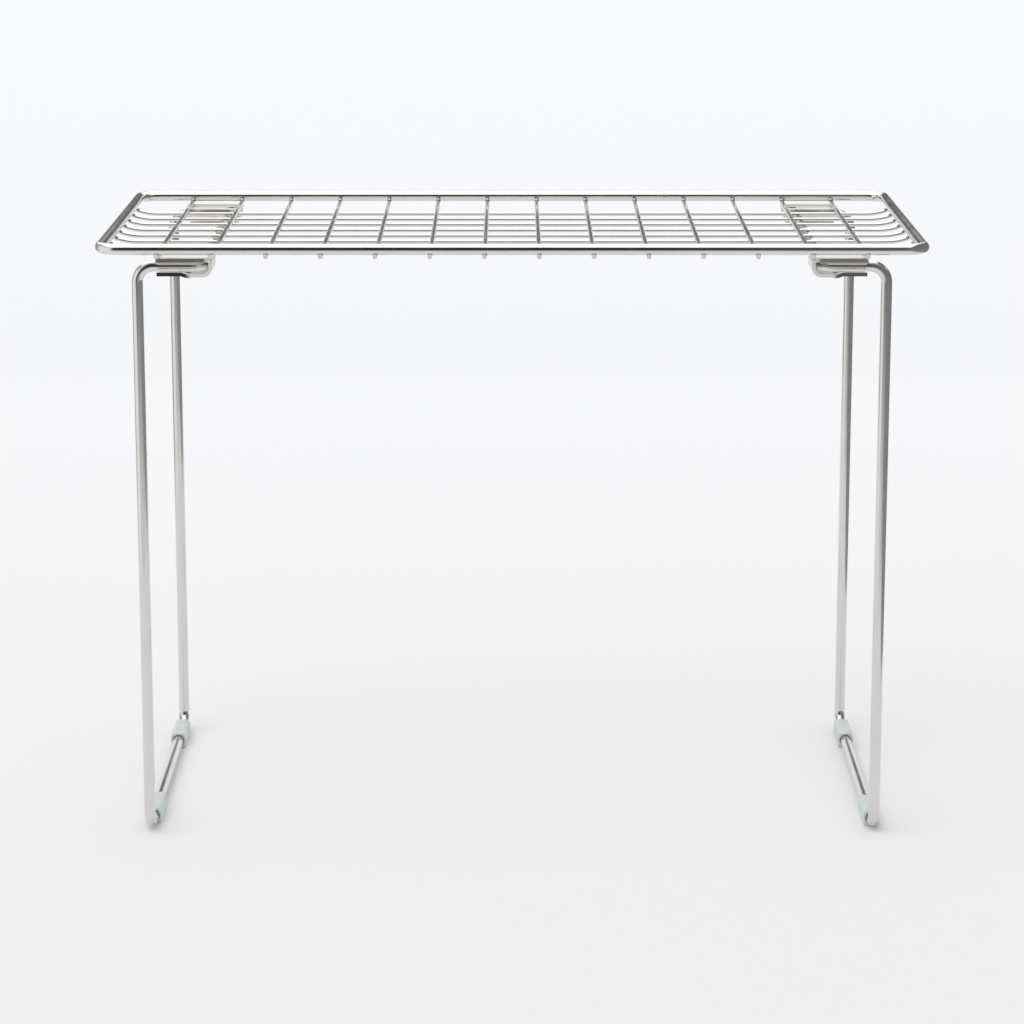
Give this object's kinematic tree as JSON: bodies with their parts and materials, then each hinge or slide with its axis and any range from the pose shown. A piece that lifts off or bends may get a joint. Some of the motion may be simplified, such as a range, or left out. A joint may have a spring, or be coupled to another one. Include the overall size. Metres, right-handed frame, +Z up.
{
  "type": "folding wire rack",
  "caption": "Free-standing stainless wire shelf on two wire-loop legs that fold flat underneath, with soft sleeves on the foot bars.",
  "frame": {"origin": "on the floor, in the middle of the rack's footprint", "axes": "+X to the right along the shelf, +Y to the back, +Z up"},
  "size_m": [0.44, 0.21, 0.326],
  "materials": {
    "wire_steel": "electropolished stainless wire",
    "bracket_steel": "tumbled stainless strip, bright, with faint edge marks",
    "foot_silicone": "matte pale grey-green silicone"
  },
  "bodies": {
    "shelf": {"frame_rim": "wire_steel", "cross_wire_01": "wire_steel", "cross_wire_02": "wire_steel", "cross_wire_03": "wire_steel", "cross_wire_04": "wire_steel", "cross_wire_05": "wire_steel", "cross_wire_06": "wire_steel", "cross_wire_07": "wire_steel", "cross_wire_08": "wire_steel", "cross_wire_09": "wire_steel", "cross_wire_10": "wire_steel", "cross_wire_11": "wire_steel", "cross_wire_12": "wire_steel", "cross_wire_13": "wire_steel", "cross_wire_14": "wire_steel", "long_wire_1": "wire_steel", "long_wire_2": "wire_steel", "long_wire_3": "wire_steel", "long_wire_4": "wire_steel", "long_wire_5": "wire_steel", "long_wire_6": "wire_steel", "long_wire_7": "wire_steel", "bracket_front_left": "bracket_steel", "bracket_front_right": "bracket_steel", "bracket_rear_left": "bracket_steel", "bracket_rear_right": "bracket_steel"},
    "leg_left": {"leg_left": "wire_steel", "foot_sleeve_front_left": "foot_silicone", "foot_sleeve_rear_left": "foot_silicone"},
    "leg_right": {"leg_right": "wire_steel", "foot_sleeve_front_right": "foot_silicone", "foot_sleeve_rear_right": "foot_silicone"}
  },
  "joints": [
    {"name": "leg_left_fold", "type": "hinge", "parent": "shelf", "child": "leg_left", "pos_m": [-0.1626, 0, 0.31325], "axis": [0, -1, 0], "range_deg": [0, 95]},
    {"name": "leg_right_fold", "type": "hinge", "parent": "shelf", "child": "leg_right", "pos_m": [0.1626, 0, 0.31325], "axis": [0, 1, 0], "range_deg": [0, 89]}
  ]
}
